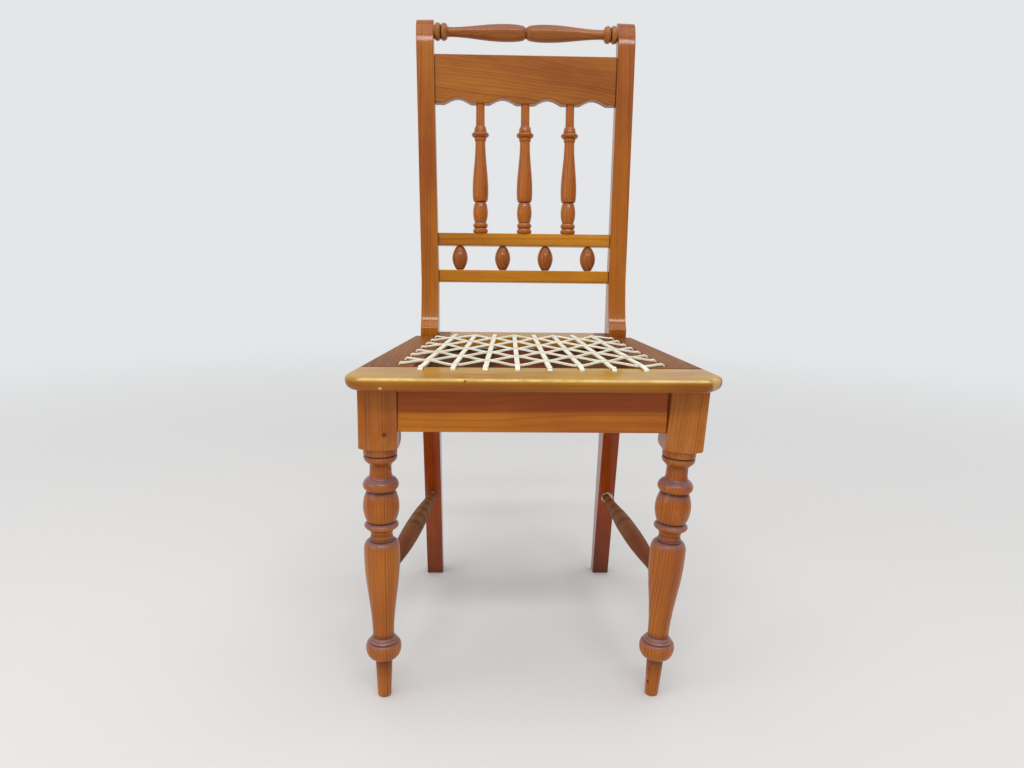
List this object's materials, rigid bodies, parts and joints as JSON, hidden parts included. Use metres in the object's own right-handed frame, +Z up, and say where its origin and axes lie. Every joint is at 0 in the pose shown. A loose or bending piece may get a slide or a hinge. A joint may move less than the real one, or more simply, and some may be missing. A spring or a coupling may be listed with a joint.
{
  "type": "broken wooden chair",
  "caption": "Broken turned wooden dining chair: laced thong seat, spindle back, right front leg wrenched out of its joint and leaning inwards, one loose side stretcher.",
  "frame": {"origin": "on the floor under the middle of the chair's bounding box", "axes": "+Z up; the chair faces -Y, so +Y points out of its back; +X is on the right for someone who looks at its front"},
  "size_m": [0.4576, 0.486, 0.935],
  "materials": {
    "pine_back": "worn gloss varnish, orange brown",
    "pine_rails": "worn gloss varnish, golden brown",
    "pine_seat": "worn satin varnish, golden, rubbed pale on the edges",
    "pine_aprons": "worn gloss varnish, red brown",
    "pine_legs": "worn satin varnish, scuffed",
    "dull_pine": "dull worn varnish, scuffed",
    "raw_pine": "bare sawn wood",
    "ivory_hide": "dry matt rawhide, slightly dirty"
  },
  "bodies": {
    "root": {"back_post_left": "pine_back", "back_post_right": "pine_back", "crest_rail": "pine_back", "back_spindle_1": "pine_back", "back_spindle_2": "pine_back", "back_spindle_3": "pine_back", "back_bead_1": "pine_back", "back_bead_2": "pine_back", "back_bead_3": "pine_back", "back_bead_4": "pine_back", "head_rail": "pine_rails", "spindle_rail": "pine_rails", "lower_back_rail": "pine_rails", "seat_front_board": "pine_seat", "seat_left_board": "pine_seat", "seat_right_board": "pine_seat", "seat_rear_board": "pine_seat", "front_apron": "pine_aprons", "rear_apron": "pine_aprons", "left_apron": "pine_aprons", "right_apron": "pine_aprons", "front_leg_left": "pine_legs", "front_leg_right": "pine_legs", "side_stretcher_left": "dull_pine", "side_stretcher_right": "dull_pine", "brace_front_left": "raw_pine", "brace_front_right": "raw_pine", "brace_rear_left": "raw_pine", "brace_rear_right": "raw_pine", "seat_lacing": "ivory_hide"}
  },
  "joints": []
}
